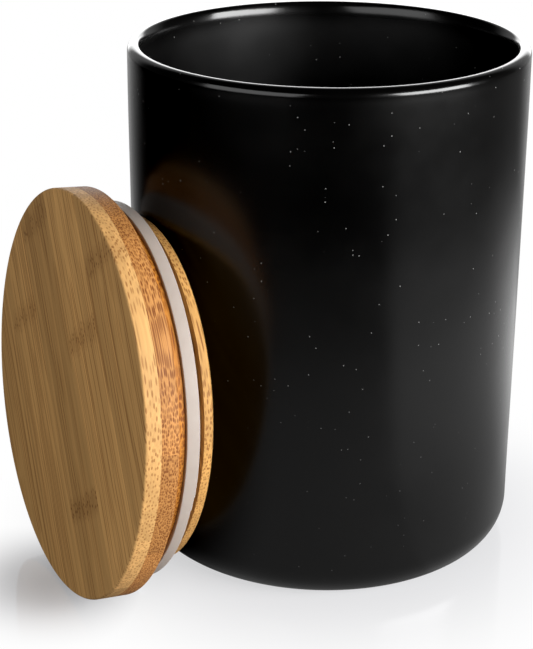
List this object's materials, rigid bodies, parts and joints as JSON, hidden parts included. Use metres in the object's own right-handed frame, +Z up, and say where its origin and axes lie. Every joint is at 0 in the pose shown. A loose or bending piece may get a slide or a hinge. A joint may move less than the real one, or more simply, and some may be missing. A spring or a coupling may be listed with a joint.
{
  "type": "empty candle jar",
  "caption": "Round ceramic candle jar with a rounded rim and base, and a laminated bamboo plug lid with a silicone seal ring, taken off and leaning on the jar.",
  "frame": {"origin": "centre of the jar's flat base, on the surface that the jar and the lid's rim stand on", "axes": "+Z up along the jar's axis; the lid leans on the jar towards -X and -Y; the viewer looks along +Y"},
  "size_m": [0.1371, 0.1335, 0.1305],
  "materials": {
    "jar_glaze": "satin black glaze",
    "bamboo_face": "sanded and oiled bamboo",
    "bamboo_core": "sanded and oiled bamboo",
    "bamboo_neck": "turned bamboo",
    "bamboo_end": "turned bamboo",
    "silicone": "milky silicone"
  },
  "bodies": {
    "jar": {"jar_body": "jar_glaze"},
    "lid": {"seal_ring": "silicone", "face_strip_1": "bamboo_face", "face_strip_2": "bamboo_face", "face_strip_3": "bamboo_face", "face_strip_4": "bamboo_face", "face_strip_5": "bamboo_face", "core_strip_1": "bamboo_core", "core_strip_2": "bamboo_core", "core_strip_3": "bamboo_core", "core_strip_4": "bamboo_core", "core_strip_5": "bamboo_core", "core_strip_6": "bamboo_core", "neck_strip_1": "bamboo_neck", "neck_strip_2": "bamboo_neck", "neck_strip_3": "bamboo_neck", "neck_strip_4": "bamboo_neck", "neck_strip_5": "bamboo_neck", "end_strip_1": "bamboo_end", "end_strip_2": "bamboo_end", "end_strip_3": "bamboo_end", "end_strip_4": "bamboo_end", "end_strip_5": "bamboo_end"}
  },
  "joints": [
    {"name": "lid_tip", "type": "hinge", "parent": "jar", "child": "lid", "pos_m": [-0.06679, -0.04142, 0], "axis": [0.4772, -0.8788, 0], "range_deg": [0, 95]}
  ]
}
